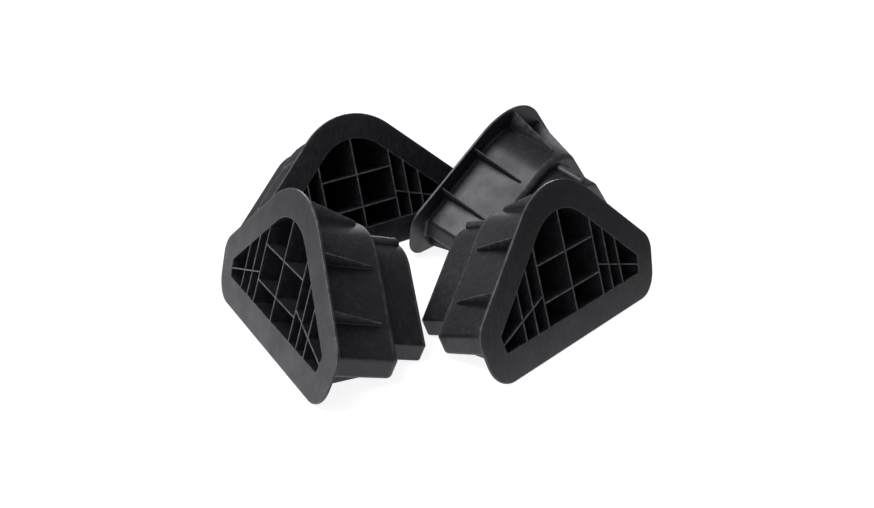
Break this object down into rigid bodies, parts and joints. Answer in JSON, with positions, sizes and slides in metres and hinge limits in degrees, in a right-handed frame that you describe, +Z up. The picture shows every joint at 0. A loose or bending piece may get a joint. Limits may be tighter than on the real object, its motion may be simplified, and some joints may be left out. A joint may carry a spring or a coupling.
{
  "type": "wheel chock set",
  "caption": "Double-sided moulded plastic wheel chocks with a rounded triangular flange, a stepped hollow body, inner ribs and outer fins.",
  "frame": {"origin": "centre of the set's bounding box on the floor", "axes": "+Z up from the floor, -Y towards the side that the front pair stands on, +X to the right of that side"},
  "size_m": [0.3859, 0.4807, 0.1288],
  "materials": {
    "black_plastic": "satin"
  },
  "bodies": {
    "front_left": {"chock_front_left": "black_plastic"},
    "front_right": {"chock_front_right": "black_plastic"},
    "back_right": {"chock_back_right": "black_plastic"},
    "back_left": {"chock_back_left": "black_plastic"}
  },
  "joints": [
    {"name": "lift_front_right", "type": "slide", "parent": "front_left", "child": "front_right", "axis": [0, 0, 1], "range_m": [0, 0.2]},
    {"name": "lift_back_right", "type": "slide", "parent": "front_left", "child": "back_right", "axis": [0, 0, 1], "range_m": [0, 0.2]},
    {"name": "lift_back_left", "type": "slide", "parent": "front_left", "child": "back_left", "axis": [0, 0, 1], "range_m": [0, 0.2]}
  ]
}
